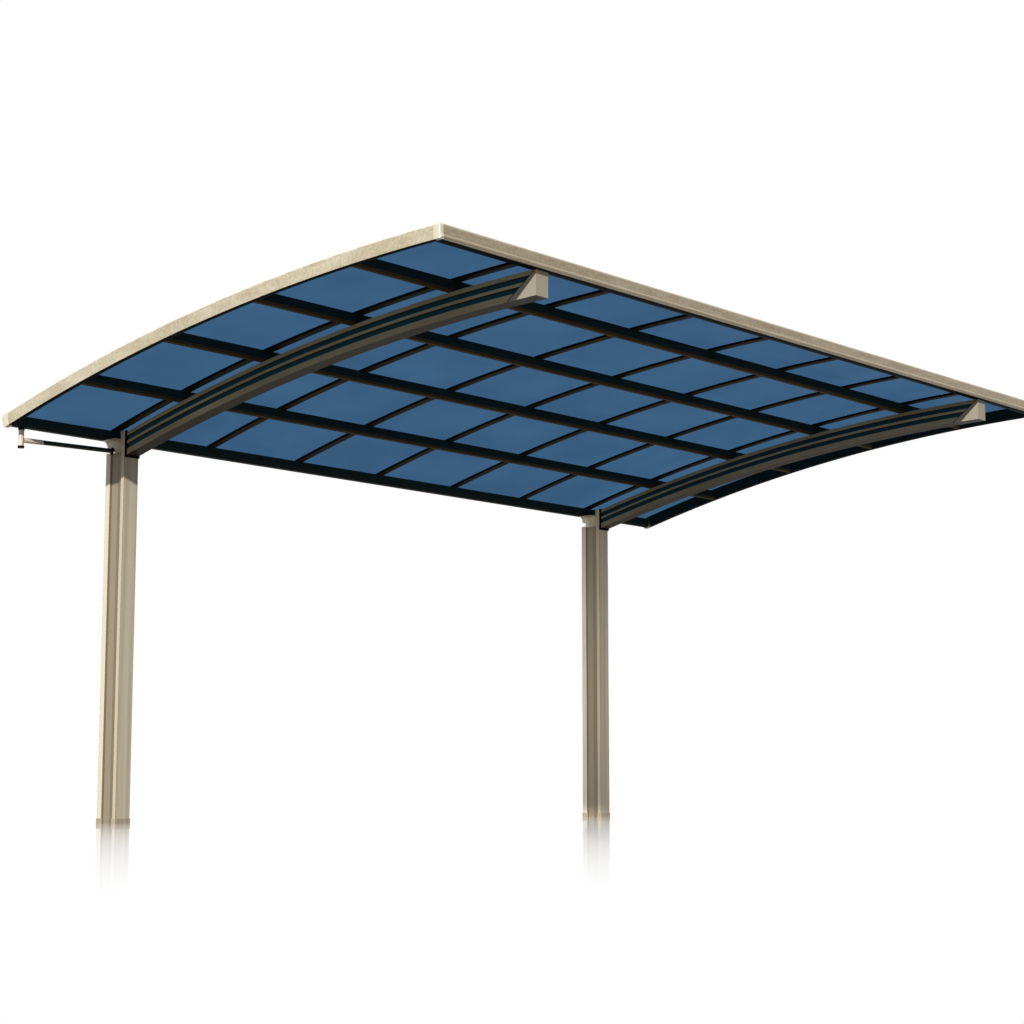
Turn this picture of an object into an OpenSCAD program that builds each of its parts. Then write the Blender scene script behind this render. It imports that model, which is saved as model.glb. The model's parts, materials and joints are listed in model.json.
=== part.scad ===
// Cantilever carport: two fluted posts carry arched arms, and the arms carry an arched sheet roof.
// Millimetres. X runs along the carport, -Y is the open front, Z is up.
// The origin is on the ground, at the middle of the near post's foot.

/* [Roof] */
// Width of one roof bay, from rafter centre to rafter centre
bay_pitch = 700; // [600:10:760]
// Number of roof bays along the carport
bays = 8; // [4:1:10]
// Depth of the roof, from the gutter's front face to the front frame's outer face
roof_reach = 3130; // [2900:10:3300]
// Rise of the rafters' underside from the gutter to the front frame
roof_rise = 458; // [420:2:500]
// Radius of the roof's arch, at the rafters' underside
roof_radius = 12800; // [11000:100:15000]
// Height of the rafters' underside over the gutter's front face
eave_height = 2165; // [2000:5:2500]

/* [Sheets and rafters] */
// Thickness of a roof sheet
sheet_t = 3; // [2:0.5:5]
// How far the sheets and rafters reach out over the gutter
sheet_drip = 22; // [12:1:30]
// Depth of a sheet's edge in the groove of a frame
edge_seat = 12; // [8:1:15]
// Width of a rafter
rafter_w = 46; // [36:1:60]
// Thickness of a rafter's lower flange
rafter_base_t = 7; // [5:0.5:10]
// Thickness of a rafter's upper flange
rafter_top_t = 4; // [3:0.5:6]
// Thickness of the rafter's web between two sheets
rafter_web = 10; // [6:1:14]
// Width of the bevel on a rafter's flanges
rafter_bevel = 2; // [1:0.5:2.5]

/* [Purlins] */
// Number of purlins under the rafters
purlins = 4; // [2:1:4]
// Distance along the arch from the gutter's front face to the first purlin's centre
purlin_first = 592; // [540:1:620]
// Distance along the arch from the last purlin's centre to the front frame's outer face
purlin_last = 578; // [520:1:620]
// Width of a purlin
purlin_w = 45; // [35:1:60]
// Depth of a purlin
purlin_d = 58; // [50:1:70]
// Wall of a purlin
purlin_wall = 2.5; // [2:0.1:4]
// Bevel along a purlin's lower edges
purlin_bevel = 12; // [8:1:15]

/* [Frames] */
// Width of a side frame
side_frame_w = 25; // [20:1:32]
// Width of the front frame
front_frame_w = 40; // [34:1:50]
// Wall of the frames
frame_wall = 2.5; // [2:0.1:4]
// Height that the frames stand above the rafters
frame_crown = 2; // [1:0.5:4]
// Radius of the frames' upper outer edge
frame_round = 16; // [10:0.5:18]
// Height of the rounded lip along the front frame's lower edge
lip_h = 24; // [18:1:30]
// How far the front frame's flat upper face sits behind the lip
lip_proud = 4; // [2:0.5:6]
// Radius of the rounded corner caps
corner_round = 16; // [10:1:20]
// How far a corner cap stands proud of the frames that it joins
corner_proud = 1; // [0.5:0.5:3]
// Length of a rear end cap along the side frame
rear_cap_len = 50; // [36:1:58]
// Width of the dark beam behind the front frame
front_beam_w = 22; // [16:1:30]
// Thickness of the dark rail along a side frame's inner face
side_rail_t = 6; // [4:0.5:10]

/* [Arms] */
// Width of an arm
arm_w = 84; // [70:1:95]
// Depth of an arm
arm_d = 125; // [110:1:150]
// Wall of an arm
arm_wall = 3; // [2.5:0.5:5]
// Height of the upper rib on an arm's sides
arm_top_rib = 22; // [16:1:26]
// Height of a flute on an arm's sides
arm_flute = 27; // [20:1:30]
// Height of the middle rib on an arm's sides
arm_mid_rib = 16; // [10:1:20]
// Depth of a flute
flute_depth = 9; // [5:0.5:12]
// How far an arm's end sits behind the front frame's outer face
arm_setback = 30; // [24:1:36]
// Length of the wedge cap along an arm's underside
arm_cap_len = 174; // [140:1:200]
// Thickness of the wedge cap's own wall
arm_cap_wall = 4; // [3:0.5:6]
// How far the wedge cap stands out over an arm's sides
arm_cap_lip = 2; // [1:0.5:3]
// Thickness of the plate between arm and post
root_plate_t = 12; // [8:0.5:13]
// How far that plate stands out round the arm
root_plate_lip = 6; // [3:0.5:8]

/* [Posts] */
// Width of a post along the carport
post_w = 100; // [96:1:130]
// Depth of a post from front to rear
post_d = 160; // [140:1:180]
// Wall of a post
post_wall = 4; // [3:0.5:6]
// Width of the strip in front of a post's side channel
front_strip = 25; // [20:1:32]
// Width of the strip behind a post's side channel
rear_strip = 38; // [28:1:45]
// Depth of the side channel at its edges
channel_edge = 12; // [8:1:14]
// Depth of the side channel at its middle
channel_depth = 20; // [16:1:24]
// Radius of a post's corners
post_round = 4; // [2:0.5:6]
// Height of a foot
foot_h = 28; // [20:1:45]
// Thickness of the sole of a foot
foot_sole = 8; // [6:0.5:14]
// Wall of a foot round the post
foot_wall = 3; // [2.5:0.5:6]

/* [Post heads] */
// Thickness of the plate that closes a post's top
head_plate_t = 6; // [4:0.5:10]
// Height of a head's neck, which leaves the post's rear strip free
head_neck_h = 34; // [30:1:40]
// Height of the flared saddle under the gutter
saddle_h = 43; // [40:1:60]
// Radius of the saddle's flared sides
saddle_flare = 36; // [24:1:38]
// How far the saddle reaches under the gutter's flat floor
saddle_ledge = 10; // [6:1:30]
// Thickness of the head's front wall, behind the arm
head_wall = 35; // [25:1:45]

/* [Gutter] */
// Distance from the posts' middle to the gutter's front face
gutter_setback = 50; // [40:1:60]
// Width of the gutter
gutter_w = 60; // [56:1:80]
// Depth of the gutter
gutter_d = 60; // [50:1:70]
// Wall of the gutter
gutter_wall = 3; // [2:0.5:4]
// Width of the bevel along the gutter's lower front edge
gutter_bevel_w = 10; // [6:1:12]
// Height of that bevel
gutter_bevel_h = 24; // [16:1:28]
// How far the gutter's rear wall leans back from its floor to its rim
gutter_lean = 14; // [8:1:16]

/* [Drain] */
// Distance from the near side frame to the drain's centre
drain_inset = 80; // [30:1:120]
// Outer radius of the drain's drop pipe
drain_r = 15; // [12:0.5:16]
// Wall of the drain's pipes
drain_wall = 2; // [1.5:0.5:3]
// Length of the drop pipe under the gutter
drain_len = 110; // [105:1:150]
// Radius that the drain's collars add to the pipe
drain_collar_lip = 2.5; // [2:0.5:4]
// Height of a drain collar
drain_collar_h = 12; // [6:1:14]
// Outer radius of the cross pipe between drop pipe and post
cross_r = 12.5; // [8:0.5:14]
// Distance from the post's rear face to the cross pipe's centre
cross_setback = 53; // [52:1:70]
// How much lower the cross pipe is at the drop pipe than at the post
cross_fall = 6; // [2:1:10]

/* [Hidden] */
arc_steps = 2880;
$fn = 64;
fit = 0.3;
span = 2 * roof_reach;

champagne = "#b9a98e";
pale_cap = "#d9cdb4";
bronze = "#2f2e2a";
sheet_blue = "#395d84";
gasket_black = "#151515";

// Plan of the roof
near_x = -bay_pitch;
far_x = (bays - 1) * bay_pitch;
far_post_x = (bays - 2) * bay_pitch;
gutter_y = gutter_setback;
front_y = gutter_y - roof_reach;
front_inner_y = front_y + front_frame_w;
drip_y = gutter_y + sheet_drip;
side_rear_y = gutter_y + gutter_w - rear_cap_len;
root_y = -post_d / 2 - root_plate_t;
arm_end_y = front_y + arm_setback;

// Centre of the roof's arch, from the chord between gutter and front frame
chord = norm([roof_reach, roof_rise]);
chord_drop = sqrt(pow(roof_radius, 2) - pow(chord / 2, 2));
arc_y = gutter_y - roof_reach / 2 - roof_rise / chord * chord_drop;
arc_z = eave_height + roof_rise / 2 - roof_reach / chord * chord_drop;

// Height of the surface that lies off above the rafters' underside, and the angle on the arch at y
function roof_z(y, off = 0) = arc_z + sqrt(pow(roof_radius + off, 2) - pow(y - arc_y, 2));
function roof_angle(y, off = 0) = acos((y - arc_y) / (roof_radius + off));

// Angle of one millimetre along the arch
arc_degree = 180 / PI / roof_radius;

// Levels above the rafters' underside, along the arch's radius
groove_h = sheet_t + 2 * fit;
rafter_d = rafter_base_t + groove_h + rafter_top_t;
frame_top = rafter_d + frame_crown;
frame_h = purlin_d + frame_top;
arm_top = -purlin_d - fit;
arm_bottom = arm_top - arm_d;
front_z = roof_z(front_y);
front_slot_z = roof_z(front_inner_y) + rafter_base_t - fit;
front_slot_h = groove_h + 2 * fit;

// Heights above the ground
gutter_floor_z = eave_height - gutter_d;
gutter_rim_z = eave_height - gutter_wall / 2;
saddle_z = gutter_floor_z - saddle_h;
post_top_z = saddle_z - head_neck_h;
root_top_z = roof_z(root_y, arm_top) + root_plate_lip;
root_bottom_z = roof_z(root_y, arm_bottom) - 2 * root_plate_lip;
drain_y = gutter_y + gutter_bevel_w + drain_r + drain_collar_lip;
drain_x = near_x + drain_inset;
cross_y = post_d / 2 - cross_setback;
cross_z = post_top_z + head_neck_h / 2;

// A rectangle with round corners, centred
module round_rect(w, h, r) {
    square([w - 2 * r, h], center = true);
    square([w, h - 2 * r], center = true);
    for (sx = [-1, 1], sy = [-1, 1])
        translate([sx * (w / 2 - r), sy * (h / 2 - r)]) circle(r);
}

// Sweeps an outline along the roof's arch, from angle rear_a to angle front_a.
// The outline's x is the level above the rafters' underside, and its y runs along the carport.
module roof_sweep(rear_a, front_a) {
    translate([0, arc_y, arc_z]) rotate([90, 0, 90]) rotate([0, 0, rear_a])
        rotate_extrude(angle = front_a - rear_a, $fn = arc_steps)
            translate([roof_radius, 0]) children();
}

// Extrudes an outline along the carport: its x is front to rear, and its y is up
module along_x(x0, x1) {
    translate([x0, 0, 0]) rotate([90, 0, 90]) linear_extrude(x1 - x0) children();
}

// Extrudes an outline from front to rear: its x is along the carport, and its y is up
module along_y(y0, y1) {
    translate([0, y1, 0]) rotate([90, 0, 0]) linear_extrude(y1 - y0) children();
}

// Keeps what lies between two upright planes across the carport
module between_y(y0, y1) {
    intersection() {
        children();
        translate([near_x - span, y0, 0]) cube([far_x - near_x + 2 * span, y1 - y0, 2 * eave_height]);
    }
}

// Posts

// The channel in a post's side, cut back all round by a lining
module post_channel(lining = 0) {
    lead = channel_edge / 2;
    y0 = -post_d / 2 + front_strip + lining;
    y1 = post_d / 2 - rear_strip - lining;
    translate([-lining, 0]) polygon([
        [-post_w, y0], [-post_w / 2, y0], [-post_w / 2 + channel_edge, y0 + lead],
        [-post_w / 2 + channel_depth, (y0 + y1) / 2],
        [-post_w / 2 + channel_edge, y1 - lead], [-post_w / 2, y1], [-post_w, y1]
    ]);
}

module post_bore() {
    core_w = post_w - 2 * (channel_depth + post_wall);
    chamber_w = post_w - 2 * post_wall;
    square([core_w, post_d - 2 * post_wall], center = true);
    translate([-chamber_w / 2, -post_d / 2 + post_wall]) square([chamber_w, front_strip - 2 * post_wall]);
    translate([-chamber_w / 2, post_d / 2 - rear_strip + post_wall])
        square([chamber_w, rear_strip - 2 * post_wall]);
}

// Outline of a post, or of a lining round it
module post_outline(lining = 0) {
    difference() {
        round_rect(post_w + 2 * lining, post_d + 2 * lining, post_round + lining);
        post_channel(lining);
        mirror([1, 0]) post_channel(lining);
    }
}

module post() {
    color(champagne) translate([0, 0, foot_sole]) linear_extrude(post_top_z - foot_sole) difference() {
        post_outline();
        post_bore();
    }
}

module foot() {
    color(champagne) difference() {
        linear_extrude(foot_h) post_outline(foot_wall + fit);
        translate([0, 0, foot_sole]) linear_extrude(foot_h) post_outline(fit);
    }
}

module saddle_outline() {
    half = post_w / 2 + saddle_flare;
    difference() {
        translate([-half, saddle_z]) square([2 * half, saddle_h]);
        for (s = [-1, 1]) {
            translate([s * half, saddle_z + saddle_h - saddle_flare - gutter_wall]) circle(saddle_flare);
            translate([s * half - saddle_flare, saddle_z - saddle_flare])
                square([2 * saddle_flare, saddle_h - gutter_wall]);
        }
    }
}

// Plate, neck, saddle under the gutter's front, and wall behind the arm
module post_head() {
    front = -post_d / 2;
    color(champagne) {
        translate([0, 0, post_top_z]) linear_extrude(head_plate_t) round_rect(post_w, post_d, post_round);
        translate([0, 0, post_top_z]) linear_extrude(head_neck_h) intersection() {
            round_rect(post_w, post_d, post_round);
            translate([-post_w / 2, front]) square([post_w, post_d - rear_strip]);
        }
        along_y(front + head_wall, gutter_y + gutter_bevel_w + saddle_ledge) saddle_outline();
        translate([-post_w / 2, front, post_top_z + head_neck_h / 2])
            cube([post_w, head_wall, root_top_z - post_top_z - head_neck_h / 2]);
    }
}

// Arms

module flute(level) {
    slope = flute_depth / 3;
    polygon([
        [level, -arm_w], [level, -arm_w / 2], [level - slope, -arm_w / 2 + flute_depth],
        [level - arm_flute + slope, -arm_w / 2 + flute_depth], [level - arm_flute, -arm_w / 2],
        [level - arm_flute, -arm_w]
    ]);
}

module arm_outline() {
    bore_w = arm_w - 2 * (flute_depth + arm_wall);
    difference() {
        translate([arm_bottom, -arm_w / 2]) square([arm_d, arm_w]);
        for (level = [arm_top - arm_top_rib, arm_top - arm_top_rib - arm_flute - arm_mid_rib]) {
            flute(level);
            mirror([0, 1]) flute(level);
        }
        translate([arm_bottom + arm_wall, -bore_w / 2]) square([arm_d - 2 * arm_wall, bore_w]);
    }
}

// The wedge under an arm's slanting front end: its front top, front bottom and rear bottom corners
wedge_top = [arm_end_y, roof_z(arm_end_y, arm_top)];
wedge_front = [arm_end_y, roof_z(arm_end_y, arm_bottom)];
wedge_rear = [arm_end_y + arm_cap_len, roof_z(arm_end_y + arm_cap_len, arm_bottom)];

// What the slanting cut takes off an arm, a clearance above the wedge
module arm_end_cut() {
    low = wedge_rear + (wedge_rear - wedge_top);
    along_x(-arm_w, arm_w) translate([0, fit])
        polygon([wedge_top, low, [arm_end_y - arm_w, low[1]], [arm_end_y - arm_w, wedge_top[1]]]);
}

module arm() {
    color(champagne) difference() {
        between_y(arm_end_y, root_y)
            roof_sweep(roof_angle(0), roof_angle(front_y)) arm_outline();
        arm_end_cut();
    }
}

// A shell that is open towards the arm
module arm_cap() {
    t = arm_cap_wall;
    half = arm_w / 2 + arm_cap_lip;
    color(pale_cap) difference() {
        along_x(-half, half) polygon([wedge_top, wedge_front, wedge_rear]);
        along_x(t - half, half - t) polygon([
            [arm_end_y + t, wedge_top[1]], wedge_front + [t, t], wedge_rear + [0, t],
            [wedge_rear[0], wedge_top[1]]
        ]);
    }
}

module arm_plate() {
    w = arm_w + 2 * root_plate_lip;
    color(gasket_black) translate([-w / 2, root_y + fit / 3, root_bottom_z])
        cube([w, root_plate_t - fit / 3, root_top_z - root_bottom_z]);
}

// Roof

function bevel_box(w, d, b) = [
    [-w / 2, 0], [w / 2, 0], [w / 2, b - d], [w / 2 - b, -d], [b - w / 2, -d], [-w / 2, b - d]
];

module purlin(i) {
    first_a = roof_angle(gutter_y) + purlin_first * arc_degree;
    last_a = roof_angle(front_y) - purlin_last * arc_degree;
    a = first_a + (last_a - first_a) * (i - 1) / (purlins - 1);
    end_gap = side_rail_t + fit;
    color(bronze) translate([0, arc_y, arc_z]) rotate([a - 90, 0, 0])
        translate([0, 0, roof_radius - fit / 3]) along_x(near_x + end_gap, far_x - end_gap) difference() {
            polygon(bevel_box(purlin_w, purlin_d - fit / 3, purlin_bevel));
            translate([0, -purlin_wall])
                polygon(bevel_box(purlin_w - 2 * purlin_wall, purlin_d - 2 * purlin_wall,
                    purlin_bevel - purlin_wall / 2));
        }
}

module rafter_outline() {
    half = rafter_w / 2;
    polygon([
        [0, rafter_bevel - half], [0, half - rafter_bevel], [rafter_bevel, half], [rafter_base_t, half],
        [rafter_base_t, rafter_web / 2], [rafter_base_t + groove_h, rafter_web / 2],
        [rafter_base_t + groove_h, half], [rafter_d - rafter_bevel, half], [rafter_d, half - rafter_bevel],
        [rafter_d, rafter_bevel - half], [rafter_d - rafter_bevel, -half], [rafter_base_t + groove_h, -half],
        [rafter_base_t + groove_h, -rafter_web / 2], [rafter_base_t, -rafter_web / 2],
        [rafter_base_t, -half], [rafter_bevel, -half]
    ]);
}

module rafter(i) {
    color(bronze) translate([(i - 1) * bay_pitch, 0, 0])
        roof_sweep(roof_angle(drip_y), roof_angle(front_inner_y + fit)) rafter_outline();
}

module sheet(i) {
    x0 = (i - 2) * bay_pitch + (i == 1 ? fit - edge_seat : rafter_web / 2 + fit);
    x1 = (i - 1) * bay_pitch - (i == bays ? fit - edge_seat : rafter_web / 2 + fit);
    color(sheet_blue, 0.7)
        roof_sweep(roof_angle(drip_y), roof_angle(front_inner_y - edge_seat + fit))
            translate([rafter_base_t + fit, x0]) square([sheet_t, x1 - x0]);
}

// Frames

// Outline of a frame of width w and height h, with its outer face at x = 0 and a round upper outer edge.
// The caps use the same outline, grown by how far they stand proud.
module edge_profile(w, h, grow = 0) {
    r = frame_round + grow;
    translate([-grow, -grow]) square([w + grow, h + 2 * grow - r]);
    translate([r - grow, -grow]) square([w + grow - r, h + 2 * grow]);
    intersection() {
        translate([r - grow, h + grow - r]) circle(r);
        translate([-grow, -grow]) square([r, h + 2 * grow]);
    }
}

module side_frame_outline() {
    difference() {
        translate([-purlin_d, -side_frame_w]) mirror([1, -1]) edge_profile(side_frame_w, frame_h);
        translate([rafter_base_t, -edge_seat]) square([groove_h, side_frame_w]);
        translate([frame_wall - purlin_d, frame_wall - side_frame_w])
            square([purlin_d + rafter_base_t - 2 * frame_wall, side_frame_w - 2 * frame_wall]);
    }
}

// Near side frame, its inner face at x = 0
module side_frame() {
    color(champagne) between_y(front_inner_y, gutter_y + gutter_w)
        roof_sweep(roof_angle(side_rear_y), roof_angle(front_y)) side_frame_outline();
}

// Outline of the front frame, with its lower outer edge at the origin and a half-round lip along that edge
module front_profile(grow = 0) {
    translate([lip_proud, 0]) edge_profile(front_frame_w - lip_proud, frame_h, grow);
    translate([lip_h / 2, lip_h / 2]) circle(lip_h / 2 + grow);
}

module front_frame_outline() {
    face_y = front_y + lip_proud;
    low = front_z - purlin_d;
    difference() {
        translate([front_y, low]) front_profile();
        translate([front_inner_y - edge_seat, front_slot_z]) square([2 * edge_seat, front_slot_h]);
        translate([face_y + frame_wall, low + frame_wall])
            square([front_inner_y - face_y - 2 * frame_wall, purlin_d + rafter_base_t - 3 * frame_wall]);
    }
}

module front_frame() {
    color(champagne) along_x(near_x, far_x) front_frame_outline();
}

// Near side rail, which carries the first sheet's edge, on the side frame's inner face at x = 0.
// It runs from the gutter's front face to the front beam, and its ends are square to the arch.
module side_rail() {
    rear_a = roof_angle(gutter_y - fit, rafter_base_t);
    front_a = roof_angle(front_inner_y + front_beam_w + fit, -purlin_d);
    color(bronze) roof_sweep(rear_a, front_a)
        translate([-purlin_d, 0]) square([purlin_d + rafter_base_t, side_rail_t]);
}

// The hollow beam on which the rafters' front ends rest
module front_beam() {
    low = front_z - purlin_d;
    h = roof_z(front_inner_y + front_beam_w) - fit / 3 - low;
    t = frame_wall;
    color(bronze) along_x(near_x + fit, far_x - fit) translate([front_inner_y, low]) difference() {
        square([front_beam_w, h]);
        translate([t, t]) square([front_beam_w - 2 * t, h - 2 * t]);
    }
}

// Near front corner, its inner edge at x = 0: the two frames' outlines meet in it round an upright edge,
// and a pocket takes the first sheet's corner
module front_cap() {
    p = corner_proud;
    w = side_frame_w;
    d = front_frame_w;
    low = front_z - purlin_d;
    color(pale_cap) translate([-w, front_y, low]) difference() {
        intersection() {
            translate([w, d, -p]) linear_extrude(frame_h + 2 * p)
                round_rect(2 * (w + p), 2 * (d + p), corner_round);
            along_x(-p, w) front_profile(p);
            along_y(-p, d) edge_profile(w, frame_h, p);
        }
        translate([w - edge_seat, d - edge_seat, front_slot_z - low])
            cube([2 * edge_seat, 2 * edge_seat, front_slot_h]);
    }
}

// Near rear end cap, its inner face at x = 0: it carries on the side frame's outline, with round rear corners
// and a groove for the end of the first sheet's edge
module rear_cap() {
    p = corner_proud;
    a = roof_angle(side_rear_y);
    low_r = roof_radius - purlin_d;
    seat_len = max(fit, (drip_y - side_rear_y) / sin(a) + fit);
    color(pale_cap) translate([-side_frame_w, arc_y + low_r * cos(a), arc_z + low_r * sin(a)])
        rotate([a - 90, 0, 0]) difference() {
            intersection() {
                along_x(-p, side_frame_w) translate([0, frame_h / 2])
                    round_rect(2 * (rear_cap_len + p), frame_h + 2 * p, corner_round);
                along_y(0, rear_cap_len + p) edge_profile(side_frame_w, frame_h, p);
            }
            translate([side_frame_w - edge_seat, -fit, purlin_d + rafter_base_t])
                cube([2 * edge_seat, seat_len + fit, groove_h]);
        }
}

// Gutter and drain

module gutter() {
    rear_y = gutter_y + gutter_w;
    t = gutter_wall;
    bevel_t = t * gutter_bevel_w / gutter_bevel_h;
    lean_t = t * gutter_lean / gutter_d;
    color(bronze) difference() {
        along_x(near_x + fit, far_x - fit) polygon([
            [gutter_y, gutter_rim_z], [gutter_y, gutter_floor_z + gutter_bevel_h],
            [gutter_y + gutter_bevel_w, gutter_floor_z], [rear_y - gutter_lean, gutter_floor_z],
            [rear_y, eave_height], [rear_y - 3 * t, eave_height], [rear_y - 3 * t, eave_height - t],
            [rear_y - lean_t - t, eave_height - t], [rear_y - gutter_lean + lean_t - t, gutter_floor_z + t],
            [gutter_y + gutter_bevel_w + bevel_t, gutter_floor_z + t],
            [gutter_y + t, gutter_floor_z + gutter_bevel_h + bevel_t], [gutter_y + t, gutter_rim_z]
        ]);
        translate([drain_x, drain_y, gutter_floor_z - t]) cylinder(h = 3 * t, r = drain_r - drain_wall);
    }
}

module drain_outlet() {
    color(pale_cap) translate([drain_x, drain_y, gutter_floor_z - drain_len]) difference() {
        cylinder(h = drain_len, r = drain_r);
        translate([0, 0, -drain_wall]) cylinder(h = drain_len + 2 * drain_wall, r = drain_r - drain_wall);
    }
}

// A ring under the gutter and one at the foot of the drop pipe
module drain_collars() {
    for (z = [gutter_floor_z - drain_collar_h, gutter_floor_z - drain_len])
        color(gasket_black) translate([drain_x, drain_y, z]) difference() {
            cylinder(h = drain_collar_h, r = drain_r + drain_collar_lip);
            translate([0, 0, -drain_wall])
                cylinder(h = drain_collar_h + 2 * drain_wall, r = drain_r + fit / 3);
        }
}

module drain_cross_pipe() {
    start = [drain_x, drain_y, cross_z - cross_fall];
    end = [-post_w / 2, cross_y, cross_z];
    run = norm(end - start);
    yaw = atan2(end[1] - start[1], end[0] - start[0]);
    color(champagne) difference() {
        translate(start) rotate([0, acos(cross_fall / run), yaw]) difference() {
            cylinder(h = run + cross_r, r = cross_r);
            translate([0, 0, -cross_r]) cylinder(h = run + 3 * cross_r, r = cross_r - drain_wall);
        }
        translate([drain_x, drain_y, gutter_floor_z - drain_len])
            cylinder(h = drain_len, r = drain_r + fit / 3);
        translate([-post_w / 2 - fit / 3, -post_d / 2, post_top_z]) cube([post_w, post_d, head_neck_h]);
    }
}

// Assembly

module at_far_post() { translate([far_post_x, 0, 0]) children(); }
module at_near_side() { translate([near_x, 0, 0]) children(); }
module at_far_side() { translate([far_x, 0, 0]) mirror([1, 0, 0]) children(); }

foot();  // near_foot
at_far_post() foot();  // far_foot
post();  // near_post
at_far_post() post();  // far_post
post_head();  // near_post_head
at_far_post() post_head();  // far_post_head
arm_plate();  // near_arm_plate
at_far_post() arm_plate();  // far_arm_plate
arm();  // near_arm
at_far_post() arm();  // far_arm
arm_cap();  // near_arm_cap
at_far_post() arm_cap();  // far_arm_cap
for (i = [1:purlins]) purlin(i);
for (i = [1:bays - 1]) rafter(i);
for (i = [1:bays]) sheet(i);
at_near_side() side_frame();  // near_side_frame
at_far_side() side_frame();  // far_side_frame
front_frame();
at_near_side() side_rail();  // near_side_rail
at_far_side() side_rail();  // far_side_rail
front_beam();
at_near_side() front_cap();  // front_near_cap
at_far_side() front_cap();  // front_far_cap
at_near_side() rear_cap();  // rear_near_cap
at_far_side() rear_cap();  // rear_far_cap
gutter();
drain_outlet();
drain_collars();
drain_cross_pipe();
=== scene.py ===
import bpy
import bmesh
import json
import math
from mathutils import Matrix, Vector


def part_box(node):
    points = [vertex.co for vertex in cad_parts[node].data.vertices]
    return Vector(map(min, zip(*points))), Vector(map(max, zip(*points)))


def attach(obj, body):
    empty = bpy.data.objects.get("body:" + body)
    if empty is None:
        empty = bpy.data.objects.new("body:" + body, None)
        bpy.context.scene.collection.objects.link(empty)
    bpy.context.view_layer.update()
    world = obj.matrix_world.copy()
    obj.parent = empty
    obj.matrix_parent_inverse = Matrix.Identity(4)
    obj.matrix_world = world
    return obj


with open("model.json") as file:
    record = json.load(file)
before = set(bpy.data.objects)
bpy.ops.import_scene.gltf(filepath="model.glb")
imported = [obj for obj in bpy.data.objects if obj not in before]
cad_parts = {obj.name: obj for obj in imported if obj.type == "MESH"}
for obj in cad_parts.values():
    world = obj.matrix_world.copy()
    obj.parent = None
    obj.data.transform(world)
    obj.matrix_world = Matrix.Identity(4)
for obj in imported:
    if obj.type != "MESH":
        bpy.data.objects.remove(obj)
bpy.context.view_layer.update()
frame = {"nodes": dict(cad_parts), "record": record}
print("frame loaded:", len(frame["nodes"]), "nodes")

# camera solved from the roof grid, metres in the part's frame
cameraSpec = {"place": (-7.134, -9.050, 0.164), "azimuth": 49.08, "tilt": 7.76,
              "lens": 72.52, "sensor": 36.0, "clipEnd": 200}


def addCamera(spec):
    data = bpy.data.cameras.new("photoCamera")
    data.sensor_width = spec["sensor"]
    data.sensor_fit = "HORIZONTAL"
    data.lens = spec["lens"]
    data.clip_end = spec["clipEnd"]
    camera = bpy.data.objects.new("photoCamera", data)
    camera.location = spec["place"]
    turn = math.radians(90 + spec["tilt"]), 0, math.radians(-spec["azimuth"])
    camera.rotation_euler = turn
    bpy.context.scene.collection.objects.link(camera)
    bpy.context.scene.camera = camera


addCamera(cameraSpec)
print("camera placed")


def hexColour(text):
    # sRGB hex to linear, with alpha 1
    parts = [int(text[i:i + 2], 16) / 255 for i in (1, 3, 5)]
    linear = [c / 12.92 if c <= 0.04045 else ((c + 0.055) / 1.055) ** 2.4 for c in parts]
    return (*linear, 1.0)


def perMetre(millimetres):
    # texture scale for a pattern of that size, because the coordinates are in metres
    return 1000 / millimetres


def addNode(tree, kind, inputs=None, links=None, stops=None, **settings):
    # sockets go by name, or by number where a node has several of one name
    node = tree.nodes.new(kind)
    for name, value in settings.items():
        setattr(node, name, value)
    for socket, value in (inputs or {}).items():
        node.inputs[socket].default_value = value
    for socket, source in (links or {}).items():
        tree.links.new(source, node.inputs[socket])
    for i, (place, colour) in enumerate(stops or []):
        ramp = node.color_ramp.elements
        stop = ramp[i] if i < 2 else ramp.new(place)
        stop.position = place
        stop.color = hexColour(colour)
    return node


def startMaterial(name, sockets):
    material = bpy.data.materials.new(name)
    material.use_nodes = True
    shader = material.node_tree.nodes["Principled BSDF"]
    for socket, value in sockets.items():
        shader.inputs[socket].default_value = value
    return material, material.node_tree, shader


# sockets of the Mix node when it mixes colours
mixFactor, mixA, mixB, mixOut = 0, 6, 7, 2
# where the ramps over a noise start and end; the noise itself keeps near 0.5
rampLow, rampHigh = 0.35, 0.65
softLow, softHigh = 0.3, 0.7
solidIor = 1.5  # paint, plastic and rubber
alongX, alongY = 0, 1  # the axis that a bar's die lines follow

# Champagne powder coat on extruded aluminium: baked polyester with a pearl fleck, so it looks
# satin and slightly uneven, with faint die lines along each bar. The frames' fleck is coarser. On
# the frames, faces that look up are painted paler, which is a painted highlight.
sideCoat = {"dark": "#bcb299", "mid": "#cac0a7", "light": "#d8cfb7", "edge": "#e9e2d0",
            "litTopFrom": 0.15, "litTopTo": 0.75, "flakeMm": 14, "cloudMm": 35, "peelMm": 4,
            "stretch": (1.0, 0.15, 0.5), "roughLow": 0.38, "roughHigh": 0.54}
# painted shade: the front frame's coat is a darker copy of the side frames' coat
frontCoat = {**sideCoat, "dark": "#968a72", "mid": "#a3977f", "light": "#b0a48c",
             "edge": "#b9ad94", "stretch": (0.15, 1.0, 1.0)}
armCoat = {"dark": "#b0a384", "mid": "#b8ab8c", "light": "#c0b394",
           "flakeMm": 6, "cloudMm": 25, "peelMm": 3,
           "stretch": (1.0, 0.03, 0.2), "roughLow": 0.45, "roughHigh": 0.55}
postCoat = {"dark": "#c8bba1", "mid": "#cfc2a8", "light": "#d6cab0",
            "flakeMm": 5, "cloudMm": 22, "peelMm": 3,
            "stretch": (1.0, 1.0, 0.01), "roughLow": 0.36, "roughHigh": 0.46}
# the feet are a little darker than the posts
footCoat = {**postCoat, "dark": "#aca087", "mid": "#b3a68d", "light": "#baae95"}
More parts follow.
